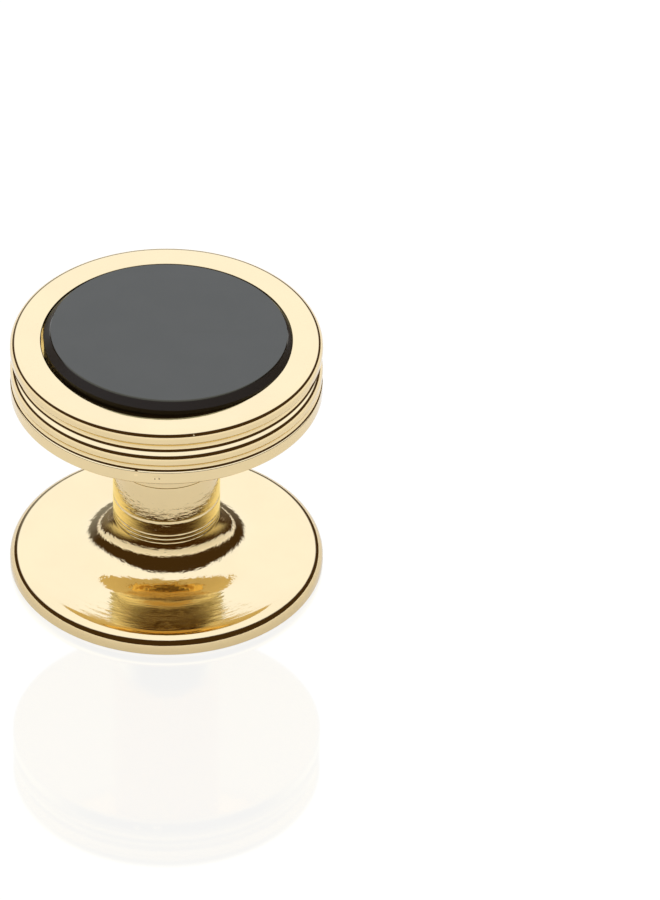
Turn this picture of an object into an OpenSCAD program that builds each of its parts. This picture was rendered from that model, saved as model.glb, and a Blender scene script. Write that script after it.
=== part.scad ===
// Dress shirt stud: a ribbed round head with a black stone, a plain post and a flat round back.
// It stands on its back. The origin is the centre of the back's underside, and +Z runs up the post.
// Each piece is one outline turned about Z. An outline's points are [radius, height] in millimetres.

/* [Head] */
// Diameter of the head over its ribs
head_d = 11; // [10:0.1:13]
// Height of the head from its underside to its rim
head_h = 2.25; // [2.1:0.05:3]
// Width of the flat rim round the stone
rim_w = 1.09; // [0.9:0.01:1.3]
// Radius on the rim's outer edge
rim_edge_r = 0.3; // [0.1:0.01:0.4]
// Radius on the rim's inner edge
cup_edge_r = 0.1; // [0.05:0.01:0.15]

/* [Upper cove] */
// Distance from the rim down to the middle of the upper cove
upper_cove_drop = 0.785; // [0.73:0.005:0.88]
// Radius of its hollow
upper_cove_r = 0.25; // [0.2:0.01:0.3]
// Depth of its hollow
upper_cove_depth = 0.25; // [0.15:0.01:0.3]
// Radius on the edge above it
upper_cove_high_r = 0.13; // [0.05:0.01:0.2]
// Radius on the edge below it
upper_cove_low_r = 0.31; // [0.05:0.01:0.35]

/* [Lower cove] */
// Distance from the rim down to the middle of the lower cove
lower_cove_drop = 1.57; // [1.47:0.01:1.9]
// Radius of its hollow
lower_cove_r = 0.2; // [0.15:0.01:0.3]
// Depth of its hollow
lower_cove_depth = 0.09; // [0.05:0.01:0.15]
// Radius on the edge above it
lower_cove_high_r = 0.1; // [0.02:0.01:0.2]
// Radius on the edge below it
lower_cove_low_r = 0.04; // [0.02:0.01:0.1]

/* [Stone] */
// Height of the stone over the rim, at its middle
stone_rise = 0.29; // [0.2:0.01:0.6]
// Thickness of the stone
stone_h = 1.3; // [1:0.1:1.5]
// Width of the bevel round the stone's top
stone_bevel = 0.25; // [0.1:0.01:0.4]
// Tilt of the stone in its cup, with its front side up
stone_tilt = 2; // [0:0.5:2.5]

/* [Post] */
// Diameter of the post
post_d = 3.8; // [3.4:0.1:4.2]
// Length of post between the back's edge and the head
post_len = 6.8; // [6:0.1:9]
// Height of the seam between the post's two parts, over the back's edge
seam_h = 3.85; // [3.2:0.05:4.5]
// Diameter of the hidden peg that joins them
peg_d = 2.1; // [1.8:0.1:2.4]
// Length of the peg over the seam
peg_len = 2.4; // [1.5:0.1:2.6]

/* [Back] */
// Diameter of the back
back_d = 11.1; // [10:0.1:13]
// Thickness of the back at its edge
back_h = 0.75; // [0.7:0.05:1.2]
// Radius on the back's upper edge
back_edge_r = 0.5; // [0.2:0.05:0.6]
// Slope of the back's upper face, which rises a little towards its edge
dish = 2; // [0:0.5:4]
// Radius of the flare between the back's upper face and the post
flare_r = 1.45; // [1:0.05:1.9]

/* [Hidden] */

// Gap between pieces that meet
fit_gap = 0.02;
// Gap round the peg and at its end
peg_gap = 0.03;
// Gap between the stone's side and the cup, which leaves room for the tilt
stone_gap = 0.05;
// Radius on the head's and the back's lower edges and on the stone's lower edge
low_edge_r = 0.1;
// Facets in a turn, in a drawing
$fn = 96;

head_r = head_d / 2;
back_r = back_d / 2;
post_r = post_d / 2;
peg_r = peg_d / 2;
underside_z = back_h + post_len;
rim_z = underside_z + head_h;
seam_z = back_h + seam_h;
socket_r = peg_r + peg_gap;
socket_z = seam_z + peg_len + peg_gap;
cup_r = head_r - rim_w;
stone_r = cup_r - stone_gap;
stone_sunk = stone_h - stone_rise;
// The cup's floor clears the low side of the tilted stone
cup_z = rim_z - stone_sunk - stone_r * sin(stone_tilt) - fit_gap;

// Points on an arc about a centre, from angle a0 to angle a1
function arc(centre, r, a0, a1, steps) = [
    for (i = [0:steps])
        let (a = a0 + (a1 - a0) * i / steps)
            centre + r * [cos(a), sin(a)]
];

// One cove of radius r and its two rounded edges, from the rib below it to the rib above it.
// An edge's arc and the hollow's arc meet at the angle whose cosine is reach / span.
function cove(z, r, depth, low_r, high_r) = let (
    reach = r - depth,
    low_turn = acos((reach + low_r) / (r + low_r)),
    high_turn = acos((reach + high_r) / (r + high_r)),
    low_z = z - (r + low_r) * sin(low_turn),
    high_z = z + (r + high_r) * sin(high_turn)
) concat(
    arc([head_r - low_r, low_z], low_r, 0, low_turn, 6),
    arc([head_r + reach, z], r, 180 + low_turn, 180 - high_turn, 12),
    arc([head_r - high_r, high_z], high_r, -high_turn, 0, 6)
);

// The back's upper edge and the flare up to the post, which touch the dished face between them.
// The flare's middle is flare_r from that face, so its height follows from the edge's last point.
function back_top() = let (
    edge_x = back_r - back_edge_r,
    edge_z = back_h - back_edge_r,
    flare_x = post_r + flare_r,
    face_z = edge_z + back_edge_r / cos(dish) + tan(dish) * (flare_x - edge_x),
    flare_z = face_z + flare_r / cos(dish)
) concat(
    arc([edge_x, edge_z], back_edge_r, 0, 90 + dish, 12),
    arc([flare_x, flare_z], flare_r, 270 + dish, 180, 20)
);

// Ribbed gold cup with the upper part of the post and the socket for the peg
module head() {
    color("gold")
    rotate_extrude()
    polygon(concat(
        [[0, socket_z],
         [socket_r, socket_z],
         [socket_r, seam_z + fit_gap],
         [post_r, seam_z + fit_gap],
         [post_r, underside_z]],
        arc([head_r - low_edge_r, underside_z + low_edge_r], low_edge_r, -90, 0, 5),
        cove(rim_z - lower_cove_drop, lower_cove_r, lower_cove_depth, lower_cove_low_r, lower_cove_high_r),
        cove(rim_z - upper_cove_drop, upper_cove_r, upper_cove_depth, upper_cove_low_r, upper_cove_high_r),
        arc([head_r - rim_edge_r, rim_z - rim_edge_r], rim_edge_r, 0, 90, 10),
        arc([cup_r + cup_edge_r, rim_z - cup_edge_r], cup_edge_r, 90, 180, 5),
        [[cup_r, cup_z],
         [0, cup_z]]
    ));
}

// Black stone disc with a bevelled upper edge, tilted about the middle of the rim's plane
module stone() {
    color("black")
    translate([0, 0, rim_z])
    rotate([-stone_tilt, 0, 0])
    rotate_extrude()
    polygon(concat(
        [[0, -stone_sunk]],
        arc([stone_r - low_edge_r, low_edge_r - stone_sunk], low_edge_r, -90, 0, 5),
        [[stone_r, 0],
         [stone_r - stone_bevel, stone_rise],
         [0, stone_rise]]
    ));
}

// Gold back disc with the flare, the lower part of the post and the peg
module back() {
    color("gold")
    rotate_extrude()
    polygon(concat(
        [[0, 0]],
        arc([back_r - low_edge_r, low_edge_r], low_edge_r, -90, 0, 5),
        back_top(),
        [[post_r, seam_z],
         [peg_r, seam_z],
         [peg_r, seam_z + peg_len],
         [0, seam_z + peg_len]]
    ));
}

head();
stone();
back();
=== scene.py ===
"""Dress shirt stud: a ribbed gold head with a black stone, a plain post and a flat round back.

It stands on its back. Sizes are in millimetres in the classes and in metres in the meshes. The origin is
the centre of the back's flat underside, +Z runs up the post and the camera stands on the -Y side.
"""

import sys

import logging
import math
from dataclasses import dataclass, field
from enum import Enum
from typing import Any

import bpy
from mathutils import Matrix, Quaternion, Vector


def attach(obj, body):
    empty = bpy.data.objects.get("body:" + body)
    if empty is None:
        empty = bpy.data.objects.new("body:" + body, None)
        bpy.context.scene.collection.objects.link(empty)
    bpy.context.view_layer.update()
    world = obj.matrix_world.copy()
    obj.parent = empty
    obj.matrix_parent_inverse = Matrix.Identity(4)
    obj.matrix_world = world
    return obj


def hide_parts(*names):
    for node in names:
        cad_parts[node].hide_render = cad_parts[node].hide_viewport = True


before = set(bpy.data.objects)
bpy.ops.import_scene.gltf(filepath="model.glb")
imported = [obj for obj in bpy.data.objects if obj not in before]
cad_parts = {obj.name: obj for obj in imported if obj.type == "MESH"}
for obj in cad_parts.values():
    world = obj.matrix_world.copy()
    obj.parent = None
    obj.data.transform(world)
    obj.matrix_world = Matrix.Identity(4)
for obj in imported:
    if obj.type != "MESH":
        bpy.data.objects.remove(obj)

MM = 0.001
DEGREES = 180 / math.pi
# Light that reaches the tent by way of two metal faces has a glossy depth above this step
SECOND_BOUNCE = (1.4, 1.6)
# An arc's first point is left out when it is this close to the last point
SAME_POINT = 1e-6
# A line leads to an arc's first point from further than this
FAR_POINT = 0.12
# Keeps the turning marks finite on the axis
AXIS_GUARD = 0.01
Point = tuple[float, float]
Span = tuple[float, float]
Colour = tuple[float, float, float]
log = logging.getLogger("shirt_stud")


class Sum(Enum):
    """The sums that a Math node does for the finishes."""

    PLUS = "ADD"
    MINUS = "SUBTRACT"
    TIMES = "MULTIPLY"
    OVER = "DIVIDE"
    SIZE = "ABSOLUTE"
    HEIGHT_ANGLE = "ARCSINE"
    TURN_ANGLE = "ARCTAN2"


@dataclass(frozen=True)
class Wire:
    """One number on its way through the nodes; sums on it add Math nodes."""

    board: "Board"
    socket: bpy.types.NodeSocket

    def sum(self, kind: Sum, *others: Any) -> "Wire":
        """Do one sum with this wire first.

        Args:
            kind: the sum.
            others: the sum's other wires or numbers.

        Returns:
            The wire that carries the result.
        """
        return self.board.sum(kind, self, *others)

    def __add__(self, other: Any) -> "Wire":
        """Add a wire or a number."""
        return self.sum(Sum.PLUS, other)

    def __radd__(self, other: Any) -> "Wire":
        """Add this wire to a number."""
        return self.board.sum(Sum.PLUS, other, self)

    def __sub__(self, other: Any) -> "Wire":
        """Take off a wire or a number."""
        return self.sum(Sum.MINUS, other)

    def __rsub__(self, other: Any) -> "Wire":
        """Take this wire off a number."""
        return self.board.sum(Sum.MINUS, other, self)

    def __mul__(self, other: Any) -> "Wire":
        """Multiply by a wire or a number."""
        return self.sum(Sum.TIMES, other)

    def __rmul__(self, other: Any) -> "Wire":
        """Multiply a number by this wire."""
        return self.board.sum(Sum.TIMES, other, self)

    def __truediv__(self, other: Any) -> "Wire":
        """Divide by a wire or a number."""
        return self.sum(Sum.OVER, other)

    def __rtruediv__(self, other: Any) -> "Wire":
        """Divide a number by this wire."""
        return self.board.sum(Sum.OVER, other, self)

    def __abs__(self) -> "Wire":
        """Drop the sign."""
        return self.sum(Sum.SIZE)

    def rise(self, low: float, high: float) -> "Wire":
        """Go smoothly from 0 to 1 as the wire goes from low to high.

        Args:
            low: where the rise starts.
            high: where it ends.

        Returns:
            The wire that carries the rise.
        """
        return self.board.node(
            "ShaderNodeMapRange",
            {"interpolation_type": "SMOOTHSTEP"},
            {"Value": self, "From Min": low, "From Max": high},
        )

    def band(self, low: float, high: float, soft: float) -> "Wire":
        """Be 1 between low and high and 0 outside, with soft ends.

        Args:
            low: middle of the lower end.
            high: middle of the upper end.
            soft: width of each end.

        Returns:
            The wire that carries the band.
        """
        half = soft / 2
        return self.rise(low - half, low + half) * (1 - self.rise(high - half, high + half))


@dataclass(frozen=True)
class Pattern:
    """How a noise is made: bumps a unit, how many finer layers and how strong they are."""

    scale: float
    detail: float
    rough: float


class Board:
    """The node tree of one material or of the world."""

    def __init__(self, tree: bpy.types.NodeTree) -> None:
        """Empty the tree.

        Args:
            tree: the node tree to fill.
        """
        tree.nodes.clear()
        self.tree = tree

    def add(self, kind: str, settings: dict[str, Any], values: dict[Any, Any]) -> bpy.types.Node:
        """Add a node of any kind.

        Args:
            kind: Blender's name of the node's type.
            settings: the node's own settings, set first.
            values: a value or a wire for each input, by name or number.

        Returns:
            The node.
        """
        node = self.tree.nodes.new(kind)
        for name, setting in settings.items():
            setattr(node, name, setting)
        for name, value in values.items():
            if isinstance(value, Wire):
                self.tree.links.new(value.socket, node.inputs[name])
            else:
                node.inputs[name].default_value = value
        return node

    def node(self, kind: str, settings: dict[str, Any], values: dict[Any, Any], out: Any = 0) -> Wire:
        """Add a node and take one of its outputs.

        Args:
            kind: Blender's name of the node's type.
            settings: the node's own settings.
            values: a value or a wire for each input.
            out: the output's name or number.

        Returns:
            The wire from that output.
        """
        return Wire(self, self.add(kind, settings, values).outputs[out])

    def sum(self, kind: Sum, *terms: Any) -> Wire:
        """Do one sum on wires and numbers.

        Args:
            kind: the sum.
            terms: its wires or numbers, in order.

        Returns:
            The wire that carries the result.
        """
        return self.node("ShaderNodeMath", {"operation": kind.value}, dict(enumerate(terms)))

    def place(self) -> Wire:
        """Read where a point of the piece lies, in millimetres.

        Returns:
            The wire that carries the place, as a vector.
        """
        metres = self.node("ShaderNodeTexCoord", {}, {}, "Object")
        return self.node("ShaderNodeVectorMath", {"operation": "SCALE"}, {0: metres, "Scale": 1 / MM})

    def split(self, vector: Wire) -> tuple[Wire, Wire, Wire]:
        """Split a vector.

        Args:
            vector: the vector's wire.

        Returns:
            Wires for X, Y and Z.
        """
        node = self.add("ShaderNodeSeparateXYZ", {}, {0: vector})
        return tuple(Wire(self, socket) for socket in node.outputs)

    def join(self, x: Any, y: Any, z: Any) -> Wire:
        """Make a vector of three wires or numbers.

        Args:
            x: its first number.
            y: its second number.
            z: its third number.

        Returns:
            The vector's wire.
        """
        return self.node("ShaderNodeCombineXYZ", {}, {0: x, 1: y, 2: z})

    def length(self, vector: Wire) -> Wire:
        """Measure a vector.

        Args:
            vector: the vector's wire.

        Returns:
            The wire that carries its length.
        """
        return self.node("ShaderNodeVectorMath", {"operation": "LENGTH"}, {0: vector}, "Value")

    def bump(self, height: Wire) -> Wire:
        """Turn a height in millimetres into a bumped normal.

        Args:
            height: the height over the surface.

        Returns:
            The wire of the normal.
        """
        return self.node("ShaderNodeBump", {}, {"Height": height, "Distance": MM, "Strength": 1.0})

    def noise(self, vector: Wire, pattern: Pattern, fourth: Any = 0.0) -> Wire:
        """Add a noise in four dimensions.

        Args:
            vector: where it is read.
            pattern: how it is made.
            fourth: the fourth number of the place where it is read.

        Returns:
            The wire that carries the noise, from 0 to 1.
        """
        values = {
            "Vector": vector,
            "W": fourth,
            "Scale": pattern.scale,
            "Detail": pattern.detail,
            "Roughness": pattern.rough,
        }
        return self.node("ShaderNodeTexNoise", {"noise_dimensions": "4D"}, values, "Fac")

    def near(self, place: Wire, spot: tuple[float, float, float], reach: float) -> Wire:
        """Be 1 at a spot of the piece and fall to 0 at a distance from it.

        Args:
            place: the point's place in millimetres.
            spot: the spot in millimetres.
            reach: the distance in millimetres.

        Returns:
            The wire that carries the nearness.
        """
        gap = self.node("ShaderNodeVectorMath", {"operation": "DISTANCE"}, {0: place, 1: spot}, "Value")
        return 1 - gap.rise(0.0, reach)

    def blend(self, factor: Wire, first: Any, second: Any) -> Wire:
        """Mix two colours.

        Args:
            factor: how much of the second.
            first: a colour with four numbers, or a wire.
            second: a colour with four numbers, or a wire.

        Returns:
            The wire of the mixed colour.
        """
        node = self.tree.nodes.new("ShaderNodeMix")
        node.data_type = "RGBA"
        self.tree.links.new(factor.socket, node.inputs[0])
        for number, colour in ((6, first), (7, second)):
            if isinstance(colour, Wire):
                self.tree.links.new(colour.socket, node.inputs[number])
            else:
                node.inputs[number].default_value = colour
        return Wire(self, node.outputs[2])


def solid_colour(colour: Colour) -> tuple[float, float, float, float]:
    """Give a colour its fourth number."""
    return (*colour, 1.0)


@dataclass(frozen=True)
class Pit:
    """A small casting pit in the plate."""

    spot: tuple[float, float, float]
    reach: float


@dataclass(frozen=True)
class PolishedGold:
    """Bright gold plate with faint turning marks about the post.

    Distances are in millimetres. The marks are rings, each broken into long arcs. They can be deeper in the
    outer part and on the post, and fade at the outer edge.
    """

    name: str
    colour: Colour = (0.86, 0.66, 0.34)
    smooth: float = 0.05
    dull: float = 0.10
    marks: Pattern = Pattern(1.0, 3.0, 0.55)
    ring_marks: float = 7.0
    arc_marks: float = 4.0
    mark_depth: float = 0.001
    rim_depth: float = 0.0
    rim_from: float = 3.4
    rim_to: float = 4.6
    post_r: float = 1.9
    post_depth: float = 0.0
    post_soft: float = 0.1
    edge_from: float = 4.8
    edge_to: float = 5.1
    edge_share: float = 0.15
    grain: Pattern = Pattern(5.0, 2.0, 0.5)
    grain_depth: float = 0.0003
    flare_from: float = 2.0
    flare_to: float = 3.3
    flare_soft: float = 0.3
    flare: Pattern = Pattern(3.5, 2.0, 0.6)
    flare_depth: float = 0.0
    waves: Pattern = Pattern(0.9, 1.0, 0.4)
    wave_depth: float = 0.0018
    smudges: Pattern = Pattern(0.55, 4.0, 0.55)
    smudge_dull: Span = (0.35, 0.75)
    smudge_dark: Span = (0.3, 0.7)
    smudge_shade: float = 0.97
    pits: tuple[Pit, ...] = ()
    pit_depth: float = 0.03

    def make(self) -> bpy.types.Material:
        """Build the material.

        Returns:
            The gold material.
        """
        material = bpy.data.materials.new(self.name)
        material.use_nodes = True
        board = Board(material.node_tree)
        place = board.place()
        x, y, z = board.split(place)
        radius = board.length(board.join(x, y, 0.0))
        spoke = self.arc_marks / (radius + AXIS_GUARD)
        rings = board.join(radius * self.ring_marks, x * spoke, y * spoke)
        marks = board.noise(rings, self.marks, z * self.ring_marks)
        waves = board.noise(place, self.waves)
        smudges = board.noise(place, self.smudges)
        grain = board.noise(place, self.grain)
        edge = 1 - radius.rise(self.edge_from, self.edge_to) * (1 - self.edge_share)
        post = 1 - radius.rise(self.post_r, self.post_r + self.post_soft)
        rim = radius.rise(self.rim_from, self.rim_to)
        depth = rim * self.rim_depth + post * self.post_depth + self.mark_depth
        height = marks * edge * depth + waves * self.wave_depth + grain * edge * self.grain_depth
        if self.flare_depth:
            flare = radius.band(self.flare_from, self.flare_to, self.flare_soft)
            height = height + flare * board.noise(place, self.flare) * self.flare_depth
        for pit in self.pits:
            height = height - board.near(place, pit.spot, pit.reach) * self.pit_depth
        bump = board.bump(height)
        rough = smudges.rise(*self.smudge_dull) * (self.dull - self.smooth) + self.smooth
        deep = tuple(share * self.smudge_shade for share in self.colour)
        dark = smudges.rise(*self.smudge_dark)
        colour = board.blend(dark, solid_colour(self.colour), solid_colour(deep))
        shader = board.node(
            "ShaderNodeBsdfPrincipled",
            {},
            {"Base Color": colour, "Metallic": 1.0, "Roughness": rough, "Normal": bump},
        )
        board.add("ShaderNodeOutputMaterial", {}, {"Surface": shader})
        return material


@dataclass(frozen=True)
class BlackOnyx:
    """Black onyx with a glassy polish on its top and a duller brownish side, as it was ground.

    The top starts at a height over the middle of the rim's plane, along the stone's tilted axis.
    """

    name: str = "black_onyx"
    colour: Colour = (0.013, 0.010, 0.006)
    cloud: Colour = (0.019, 0.015, 0.010)
    clouds: Pattern = Pattern(0.7, 5.0, 0.6)
    cloud_range: Span = (0.35, 0.7)
    index: float = 1.75
    shine: Colour = (0.80, 0.73, 0.46)
    smooth: float = 0.04
    dull: float = 0.09
    side_colour: Colour = (0.022, 0.013, 0.004)
    side_level: float = 0.2
    side_rough: float = 0.32
    side_uneven: float = 0.1
    grain: Pattern = Pattern(9.0, 3.0, 0.6)
    grain_depth: float = 0.00015
    top_from: float = 0.255
    top_soft: float = 0.03

    def make(self, rim_z: float, tilt: float, lean: float) -> bpy.types.Material:
        """Build the material.

        Args:
            rim_z: height of the rim's plane in millimetres.
            tilt: the stone's tilt in degrees, with its front side up.
            lean: the top's own lean in degrees, with its left side up.

        Returns:
            The onyx material.
        """
        material = bpy.data.materials.new(self.name)
        material.use_nodes = True
        board = Board(material.node_tree)
        place = board.place()
        clouds = board.noise(place, self.clouds).rise(*self.cloud_range)
        grain = board.noise(place, self.grain)
        bump = board.bump(grain * self.grain_depth)
        top = board.node(
            "ShaderNodeBsdfPrincipled",
            {},
            {
                "Base Color": board.blend(clouds, solid_colour(self.colour), solid_colour(self.cloud)),
                "Roughness": clouds * (self.dull - self.smooth) + self.smooth,
                "IOR": self.index,
                "Specular Tint": solid_colour(self.shine),
                "Normal": bump,
            },
        )
        side = board.node(
            "ShaderNodeBsdfPrincipled",
            {},
            {
                "Base Color": solid_colour(self.side_colour),
                "Roughness": grain * self.side_uneven + self.side_rough,
                "Specular IOR Level": self.side_level,
                "Normal": bump,
            },
        )
        x, y, z = board.split(place)
        height = z - rim_z + y * math.tan(math.radians(tilt)) + x * math.tan(math.radians(lean))
        polished = height.rise(self.top_from - self.top_soft / 2, self.top_from + self.top_soft / 2)
        both = board.node("ShaderNodeMixShader", {}, {0: polished, 1: side, 2: top})
        board.add("ShaderNodeOutputMaterial", {}, {"Surface": both})
        return material


class Outline:
    """Half of a piece's section, as points of radius and height in millimetres."""

    def __init__(self, radius: float, height: float) -> None:
        """Start at one point.

        Args:
            radius: distance from the axis.
            height: distance along the axis.
        """
        self.points: list[Point] = [(radius, height)]

    def line(self, radius: float, height: float, guard: float = 0.03) -> "Outline":
        """Go straight to a point. A point close to each end keeps the flat's shading plain.

        Args:
            radius: the point's distance from the axis.
            height: the point's distance along the axis.
            guard: how close those two points are.

        Returns:
            This outline.
        """
        r0, z0 = self.points[-1]
        length = math.hypot(radius - r0, height - z0)
        if length > 4 * guard:
            for share in (guard / length, 1 - guard / length):
                self.points.append((r0 + (radius - r0) * share, z0 + (height - z0) * share))
        self.points.append((radius, height))
        return self

    def arc(self, centre: Point, radius: float, start: float, end: float, turn: float = 3.0) -> "Outline":
        """Go along an arc.

        Args:
            centre: the arc's middle.
            radius: the arc's radius.
            start: angle at its start in degrees.
            end: angle at its end.
            turn: degrees between two points.

        Returns:
            This outline.
        """
        steps = max(2, math.ceil(abs(end - start) / turn))
        for step in range(steps + 1):
            angle = math.radians(start + (end - start) * step / steps)
            point = (centre[0] + radius * math.cos(angle), centre[1] + radius * math.sin(angle))
            gap = math.dist(point, self.points[-1])
            if not step and gap > FAR_POINT:
                self.line(*point)
            elif step or gap > SAME_POINT:
                self.points.append(point)
        return self

    def ring_cut(self, height: float, width: float, depth: float, steps: int = 6) -> "Outline":
        """Go up a wall and through a fine turned ring, whose long lower side faces up.

        Args:
            height: height of the middle of the long side.
            width: width of the long side.
            depth: depth of the ring.
            steps: points on each side.

        Returns:
            This outline.
        """
        radius = self.points[-1][0]
        low = height - width / 2
        self.line(radius, low)
        for start, span, sunk in ((low, width, 0), (low + width, width / 2, 1)):
            for step in range(1, steps + 1):
                share = step / steps
                ease = share * share * (3 - 2 * share)
                self.points.append((radius - depth * abs(sunk - ease), start + span * share))
        return self


@dataclass(frozen=True)
class Lathe:
    """Turns outlines about an axis, as the real stud is turned."""

    steps: int = 256
    smooth: float = 28.0
    centre: Vector = field(default_factory=lambda: Vector((0, 0, 0)))
    axis: Vector = field(default_factory=lambda: Vector((0, 0, 1)))
    merge: float = 1e-7

    def place(self, point: Point) -> Vector:
        """Put an outline's point in the frame.

        Args:
            point: radius and height in millimetres.

        Returns:
            The place in metres.
        """
        return (self.centre + Vector((point[0], 0, 0)) + self.axis * point[1]) * MM

    def turn(self, name: str, outline: Outline) -> bpy.types.Object:
        """Draw an outline from one point by extrusion and spin it into a closed piece.

        Args:
            name: the piece's name.
            outline: its outline, which starts and ends on the axis.

        Returns:
            The piece, with its place in its mesh.
        """
        spots = [self.place(point) for point in outline.points]
        bpy.ops.object.select_all(action="DESELECT")
        bpy.ops.mesh.primitive_plane_add(size=MM, location=spots[0])
        piece = bpy.context.object
        piece.name = name
        piece.data.name = name
        bpy.ops.object.mode_set(mode="EDIT")
        bpy.ops.mesh.merge(type="CENTER")
        for last, spot in zip(spots, spots[1:]):
            bpy.ops.mesh.extrude_region_move(TRANSFORM_OT_translate={"value": spot - last})
        bpy.ops.mesh.select_all(action="SELECT")
        bpy.ops.mesh.spin(steps=self.steps, angle=math.tau, center=self.centre * MM, axis=self.axis)
        bpy.ops.mesh.select_all(action="SELECT")
        bpy.ops.mesh.remove_doubles(threshold=self.merge)
        bpy.ops.mesh.normals_make_consistent(inside=False)
        bpy.ops.object.mode_set(mode="OBJECT")
        bpy.ops.object.transform_apply(location=True, rotation=True, scale=True)
        bpy.ops.object.shade_smooth_by_angle(angle=math.radians(self.smooth))
        return piece


@dataclass
class Stud:
    """Sizes that the pieces share, in millimetres."""

    head_d: float = 11.0
    head_h: float = 2.25
    post_d: float = 3.8
    post_len: float = 6.8
    seam_h: float = 3.85
    peg_d: float = 2.1
    peg_len: float = 2.4
    back_d: float = 11.1
    back_h: float = 0.75
    rim_w: float = 1.09
    stone_rise: float = 0.29
    stone_h: float = 1.3
    stone_tilt: float = 2.0
    fit_gap: float = 0.02
    peg_gap: float = 0.03
    stone_gap: float = 0.05
    stone_seen_gap: float = 0.006
    low_edge_r: float = 0.1
    seam_edge: float = 0.012
    seam_gap: float = 0.012

    @property
    def underside_z(self) -> float:
        """Height of the head's underside."""
        return self.back_h + self.post_len

    @property
    def rim_z(self) -> float:
        """Height of the head's rim."""
        return self.underside_z + self.head_h

    @property
    def seam_z(self) -> float:
        """Height of the seam in the post."""
        return self.back_h + self.seam_h

    @property
    def cup_r(self) -> float:
        """Radius of the cup for the stone."""
        return self.head_d / 2 - self.rim_w

    @property
    def stone_sunk(self) -> float:
        """Depth of the stone below the rim."""
        return self.stone_h - self.stone_rise

    @property
    def stone_r(self) -> float:
        """Radius of the stone."""
        return self.cup_r - self.stone_gap


@dataclass
class Cove:
    """A hollow between two ribs, with the rounded edges above and below it, in millimetres."""

    drop: float
    r: float
    depth: float
    high_r: float
    low_r: float

    def cut(self, outline: Outline, head_r: float, rim_z: float) -> None:
        """Draw the cove upwards on the head's side.

        Args:
            outline: the head's outline so far.
            head_r: radius of the head over its ribs.
            rim_z: height of the rim.
        """
        z = rim_z - self.drop
        reach = self.r - self.depth
        low = math.degrees(math.acos((reach + self.low_r) / (self.r + self.low_r)))
        high = math.degrees(math.acos((reach + self.high_r) / (self.r + self.high_r)))
        low_z = z - (self.r + self.low_r) * math.sin(math.radians(low))
        high_z = z + (self.r + self.high_r) * math.sin(math.radians(high))
        outline.arc((head_r - self.low_r, low_z), self.low_r, 0, low)
        outline.arc((head_r + reach, z), self.r, 180 + low, 180 - high)
        outline.arc((head_r - self.high_r, high_z), self.high_r, -high, 0)


@dataclass
class Head:
    """The gold cup with its three ribs and the upper part of the post."""

    stud: Stud
    rim_edge_r: float = 0.3
    cup_edge_r: float = 0.05
    upper: Cove = field(default_factory=lambda: Cove(0.785, 0.25, 0.25, 0.13, 0.31))
    lower: Cove = field(default_factory=lambda: Cove(1.57, 0.2, 0.09, 0.1, 0.04))

    def outline(self) -> Outline:
        """Draw the head's section, from the socket's end round the post and the ribs to the cup's floor.

        Returns:
            The outline.
        """
        stud = self.stud
        head_r, post_r = stud.head_d / 2, stud.post_d / 2
        low_r, edge = stud.low_edge_r, stud.seam_edge
        socket_r = stud.peg_d / 2 + stud.peg_gap
        seam = stud.seam_z + stud.seam_gap
        sink = stud.stone_r * math.sin(math.radians(stud.stone_tilt))
        cup_z = stud.rim_z - stud.stone_sunk - sink - stud.fit_gap
        line = Outline(0, stud.seam_z + stud.peg_len + stud.peg_gap)
        line.line(socket_r, line.points[0][1]).line(socket_r, seam)
        line.line(post_r - edge, seam).arc((post_r - edge, seam + edge), edge, -90, 0, turn=30)
        line.line(post_r, stud.underside_z)
        line.arc((head_r - low_r, stud.underside_z + low_r), low_r, -90, 0, turn=6)
        self.lower.cut(line, head_r, stud.rim_z)
        self.upper.cut(line, head_r, stud.rim_z)
        line.arc((head_r - self.rim_edge_r, stud.rim_z - self.rim_edge_r), self.rim_edge_r, 0, 90)
        cup_edge = (stud.cup_r + self.cup_edge_r, stud.rim_z - self.cup_edge_r)
        line.arc(cup_edge, self.cup_edge_r, 90, 180, turn=6)
        return line.line(stud.cup_r, cup_z).line(0, cup_z)

    def build(self, gold: bpy.types.Material) -> bpy.types.Object:
        """Turn the head and dress it.

        Args:
            gold: its finish.

        Returns:
            The piece.
        """
        piece = Lathe().turn("gold_head", self.outline())
        return settle(piece, gold, "head")


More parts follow.
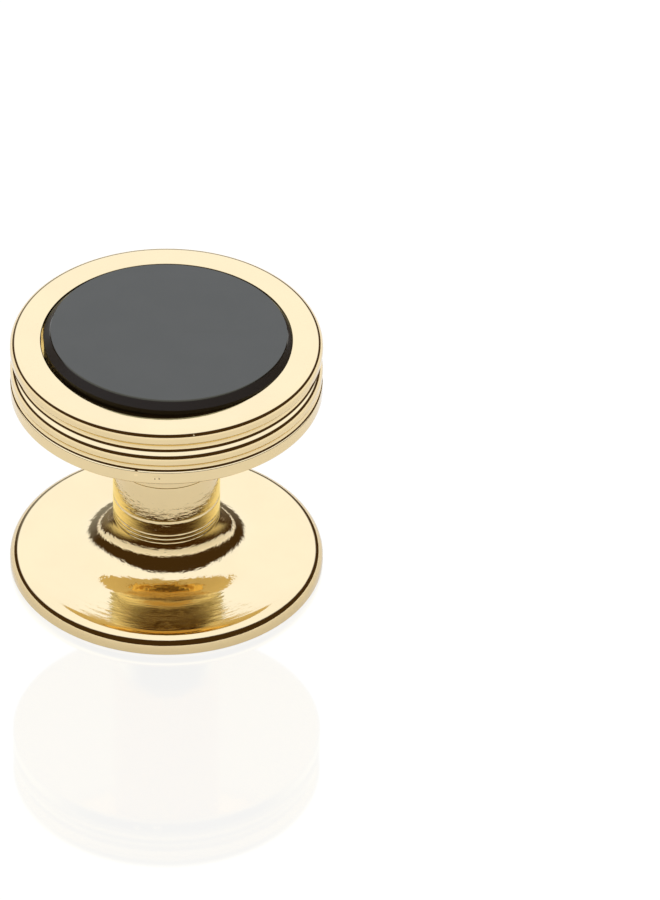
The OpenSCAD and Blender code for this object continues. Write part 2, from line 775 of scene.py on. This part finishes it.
@dataclass
class Stone:
    """The black stone, tilted a little in its cup with its front side up."""

    stud: Stud
    bevel: float = 0.25
    edge_r: float = 0.02
    bevel_low: float = 0.02
    aside: float = 0.09
    top_lean: float = 1.2

    def outline(self) -> Outline:
        """Draw the stone's section from its bottom to its top, with heights from the rim.

        Returns:
            The outline.
        """
        stud = self.stud
        r, low_r, rise = stud.cup_r - stud.stone_seen_gap, stud.low_edge_r, stud.stone_rise
        line = Outline(0, -stud.stone_sunk)
        line.arc((stud.stone_r - stud.fit_gap - low_r, low_r - stud.stone_sunk), low_r, -90, 0, turn=10)
        line.line(r, self.bevel_low)
        slope = math.degrees(math.atan2(self.bevel, rise - self.bevel_low))
        back = self.edge_r * math.tan(math.radians(90 - slope) / 2)
        line.arc((r - self.bevel - back, rise - self.edge_r), self.edge_r, slope, 90, turn=10)
        return line.line(0, rise)

    def build(self, onyx: bpy.types.Material) -> bpy.types.Object:
        """Turn the stone about its tilted axis and dress it.

        Args:
            onyx: its finish.

        Returns:
            The piece.
        """
        tilt = math.radians(self.stud.stone_tilt)
        lathe = Lathe(
            centre=Vector((0, 0, self.stud.rim_z)),
            axis=Vector((0, math.sin(tilt), math.cos(tilt))),
        )
        piece = lathe.turn("onyx_stone", self.outline())
        self.shift_top(piece, lathe)
        return settle(piece, onyx, "stone")

    def shift_top(self, piece: bpy.types.Object, lathe: Lathe) -> None:
        """Move the top to the right and raise its left side a little, as it was ground.

        Args:
            piece: the turned stone.
            lathe: the lathe that turned it.
        """
        low = self.stud.stone_rise - 3 * self.edge_r
        for vertex in piece.data.vertices:
            vertex.select = (vertex.co / MM - lathe.centre).dot(lathe.axis) > low
        bpy.ops.object.mode_set(mode="EDIT")
        bpy.ops.mesh.select_mode(type="VERT")
        bpy.ops.transform.translate(value=(self.aside * MM, 0, 0))
        middle = (lathe.centre + lathe.axis * self.stud.stone_rise) * MM
        lean = math.radians(-self.top_lean)
        bpy.ops.transform.rotate(value=lean, orient_axis="Y", center_override=middle)
        bpy.ops.object.mode_set(mode="OBJECT")


@dataclass
class Back:
    """The flat gold back with its flare, the lower part of the post and the peg."""

    stud: Stud
    edge_r: float = 0.5
    dish: float = 2.0
    flare_r: float = 1.45
    ring_cuts: tuple[tuple[float, float], ...] = ((2.17, 0.06), (2.34, 0.06), (2.515, 0.06), (3.07, 0.1))
    cut_share: float = 0.14

    def outline(self) -> Outline:
        """Draw the back's section, from the middle of its underside out and up to the peg's end.

        Returns:
            The outline.
        """
        stud = self.stud
        back_r, post_r, peg_r = stud.back_d / 2, stud.post_d / 2, stud.peg_d / 2
        low_r, edge = stud.low_edge_r, stud.seam_edge
        slope = math.radians(self.dish)
        edge_x, edge_z = back_r - self.edge_r, stud.back_h - self.edge_r
        flare_x = post_r + self.flare_r
        climb = math.tan(slope) * (flare_x - edge_x)
        flare_z = edge_z + (self.edge_r + self.flare_r) / math.cos(slope) + climb
        line = Outline(0, 0)
        line.arc((back_r - low_r, low_r), low_r, -90, 0, turn=6)
        line.arc((edge_x, edge_z), self.edge_r, 0, 90 + self.dish)
        line.arc((flare_x, flare_z), self.flare_r, 270 + self.dish, 180, turn=2)
        for height, width in self.ring_cuts:
            line.ring_cut(height, width, width * self.cut_share)
        line.line(post_r, stud.seam_z - edge).arc((post_r - edge, stud.seam_z - edge), edge, 0, 90, turn=30)
        line.line(peg_r, stud.seam_z).line(peg_r, stud.seam_z + stud.peg_len)
        return line.line(0, stud.seam_z + stud.peg_len)

    def build(self, gold: bpy.types.Material) -> bpy.types.Object:
        """Turn the back and dress it.

        Args:
            gold: its finish.

        Returns:
            The piece.
        """
        piece = Lathe().turn("gold_back", self.outline())
        return settle(piece, gold, "back")


def settle(piece: bpy.types.Object, finish: bpy.types.Material, node: str) -> bpy.types.Object:
    """Dress a piece and set it in the frame in place of its solid.

    Args:
        piece: the piece.
        finish: its material.
        node: the solid that it stands for.

    Returns:
        The piece.
    """
    piece.data.materials.clear()
    piece.data.materials.append(finish)
    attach(piece, "root")
    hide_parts(node)
    log.info("%s: %d faces, in place of %s", piece.name, len(piece.data.polygons), node)
    return piece


@dataclass(frozen=True)
class Tabletop:
    """Plain white glossy table, which the camera sees as brightly lit as the photo's. Rays from the stud
    see a darker matt copy of it with painted glow: emission that stands in for light, weaker near the stud
    as painted shade there.
    """

    half: float = 3.0
    sides: int = 96
    colour: Colour = (0.72, 0.66, 0.57)
    # Painted glow of the matt copy that rays from the stud see: weaker near the stud, as painted shade, and
    # stronger far from it
    near_painted_glow: Colour = (0.31, 0.34, 0.37)
    far_painted_glow: Colour = (0.44, 0.48, 0.54)
    painted_glow_from: float = 16.0
    painted_glow_to: float = 50.0
    seen_colour: Colour = (0.09, 0.08, 0.06)
    seen_glow: Colour = (0.84, 0.84, 0.83)
    seen_rough: float = 0.05
    seen_index: float = 1.8
    seen_shine: Colour = (1.0, 0.90, 0.68)

    def build(self) -> bpy.types.Object:
        """Lay the table under the stud.

        Returns:
            The table.
        """
        bpy.ops.object.select_all(action="DESELECT")
        bpy.ops.mesh.primitive_circle_add(vertices=self.sides, radius=self.half, fill_type="NGON")
        table = bpy.context.object
        table.name = "tabletop"
        material = bpy.data.materials.new("tabletop")
        material.use_nodes = True
        board = Board(material.node_tree)
        # Share of the far painted glow, which grows with the distance from the stud
        far_painted_glow_share = board.length(board.place()).rise(self.painted_glow_from, self.painted_glow_to)
        # Matt copy of the table for rays from the stud, with emission as painted light that is weaker near
        # the stud
        matt = board.node(
            "ShaderNodeBsdfPrincipled",
            {},
            {
                "Base Color": solid_colour(self.colour),
                "Roughness": 1.0,
                "Specular IOR Level": 0.0,
                "Emission Color": board.blend(far_painted_glow_share, solid_colour(self.near_painted_glow), solid_colour(self.far_painted_glow)),
                "Emission Strength": 1.0,
            },
        )
        glossy = board.node(
            "ShaderNodeBsdfPrincipled",
            {},
            {
                "Base Color": solid_colour(self.seen_colour),
                "Roughness": self.seen_rough,
                "IOR": self.seen_index,
                "Specular Tint": solid_colour(self.seen_shine),
                "Emission Color": solid_colour(self.seen_glow),
                "Emission Strength": 1.0,
            },
        )
        seen = board.node("ShaderNodeLightPath", {}, {}, "Is Camera Ray")
        shader = board.node("ShaderNodeMixShader", {}, {0: seen, 1: matt, 2: glossy})
        board.add("ShaderNodeOutputMaterial", {}, {"Surface": shader})
        table.data.materials.append(material)
        log.info("%s: laid", table.name)
        return table


@dataclass(frozen=True)
class LightTent:
    """Soft white tent round the stud, with a dark gap low down all round, as light from each direction.

    Angles are in degrees. Height is over the horizon, and side is the angle from the camera's side, turned
    a little. The gap is highest on the camera's side. Colours are shares of the strength.
    """

    strength: float = 1.765
    sky: Colour = (0.68, 0.76, 1.0)
    deep_sky: Colour = (0.74, 0.84, 0.82)
    gap: Colour = (0.034, 0.019, 0.006)
    rear_gap: Colour = (0.16, 0.17, 0.19)
    rear_from: float = 145.0
    rear_to: float = 180.0
    skirt: Colour = (0.58, 0.58, 0.60)
    turned: float = 8.0
    gap_high: float = 20.0
    gap_rise: float = 27.0
    rise_from: float = 20.0
    rise_to: float = 140.0
    soft: float = 3.0
    deep_soft: float = 22.0
    skirt_low: float = 0.0
    skirt_high: float = 2.5

    def build(self) -> bpy.types.World:
        """Set up the world.

        Returns:
            The world.
        """
        world = bpy.data.worlds.new("light_tent")
        bpy.context.scene.world = world
        world.use_nodes = True
        board = Board(world.node_tree)
        x, y, z = board.split(board.node("ShaderNodeTexCoord", {}, {}, "Generated"))
        high = z.sum(Sum.HEIGHT_ANGLE) * DEGREES
        side = abs(board.sum(Sum.TURN_ANGLE, x, 0 - y) * DEGREES - self.turned)
        limit = (1 - side.rise(self.rise_from, self.rise_to)) * self.gap_rise + self.gap_high
        ray = board.add("ShaderNodeLightPath", {}, {})
        deep = Wire(board, ray.outputs["Glossy Depth"]).rise(*SECOND_BOUNCE)
        over = ((high - limit + self.soft) / (deep * self.deep_soft + 2 * self.soft)).rise(0.0, 1.0)
        sky = board.blend(deep, solid_colour(self.sky), solid_colour(self.deep_sky))
        rear = side.rise(self.rear_from, self.rear_to)
        gap = board.blend(rear, solid_colour(self.gap), solid_colour(self.rear_gap))
        light = board.blend(over, gap, sky)
        light = board.blend(high.rise(self.skirt_low, self.skirt_high), solid_colour(self.skirt), light)
        lit = board.node("ShaderNodeBackground", {}, {"Color": light, "Strength": self.strength})
        plain = board.node("ShaderNodeBackground", {}, {"Color": (1, 1, 1, 1), "Strength": 1.0})
        seen = Wire(board, ray.outputs["Is Camera Ray"])
        both = board.node("ShaderNodeMixShader", {}, {0: seen, 1: lit, 2: plain})
        board.add("ShaderNodeOutputWorld", {}, {"Surface": both})
        log.info("%s: lit", world.name)
        return world


@dataclass(frozen=True)
class Viewpoint:
    """The camera, which stands in front of the stud and above it."""

    aim: tuple[float, float, float] = (0.0, 0.0, 5.75)
    distance: float = 487.6
    elevation: float = 37.385
    focal_px: float = 13829.5
    aim_px: tuple[float, float] = (166.48, 430.39)
    picture: tuple[int, int] = (660, 900)
    sensor: float = 36.0
    nearest: float = 0.01
    farthest: float = 10.0

    def build(self) -> bpy.types.Object:
        """Set up the camera.

        Returns:
            The camera.
        """
        data = bpy.data.cameras.new("viewpoint")
        data.sensor_fit = "AUTO"
        data.sensor_width = self.sensor
        data.lens = self.focal_px * self.sensor / self.picture[1]
        data.clip_start = self.nearest
        data.clip_end = self.farthest
        camera = bpy.data.objects.new("viewpoint", data)
        bpy.context.collection.objects.link(camera)
        e = math.radians(self.elevation)
        away = Vector((0, -math.cos(e), math.sin(e)))
        camera.location = (Vector(self.aim) + away * self.distance) * MM
        right = math.atan2(self.picture[0] / 2 - self.aim_px[0], self.focal_px)
        down = math.atan2(self.picture[1] / 2 - self.aim_px[1], self.focal_px)
        look = (-away).to_track_quat("-Z", "Y")
        camera.rotation_mode = "QUATERNION"
        camera.rotation_quaternion = look @ Quaternion((0, 1, 0), -right) @ Quaternion((1, 0, 0), -down)
        bpy.context.scene.camera = camera
        log.info("%s: %.0f mm lens", camera.name, data.lens)
        return camera


def set_colours() -> None:
    """Show the light as it is, without a film look."""
    view = bpy.context.scene.view_settings
    view.view_transform = "Standard"
    view.look = "None"
    view.exposure = 0.0
    view.gamma = 1.0


def main() -> None:
    """Build the stud, its table, light and camera."""
    logging.basicConfig(level=logging.INFO, format="%(message)s", stream=sys.stdout)
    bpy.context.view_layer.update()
    set_colours()
    pits = (
        Pit((-1.06, -5.4, 7.98), 0.13),
        Pit((-0.40, -5.48, 7.86), 0.10),
        Pit((-0.25, -5.49, 7.86), 0.08),
        Pit((0.96, -5.40, 9.68), 0.07),
    )
    head_gold = PolishedGold("head_gold", pits=pits).make()
    back_gold = PolishedGold(
        "back_gold",
        mark_depth=0.006,
        rim_depth=0.006,
        post_depth=0.002,
        grain_depth=0.0015,
        flare_depth=0.008,
    ).make()
    stud = Stud()
    stone = Stone(stud)
    onyx = BlackOnyx().make(stud.rim_z, stud.stone_tilt, stone.top_lean)
    Head(stud).build(head_gold)
    stone.build(onyx)
    Back(stud).build(back_gold)
    Tabletop().build()
    LightTent().build()
    Viewpoint().build()


if __name__ == "__main__":
    main()
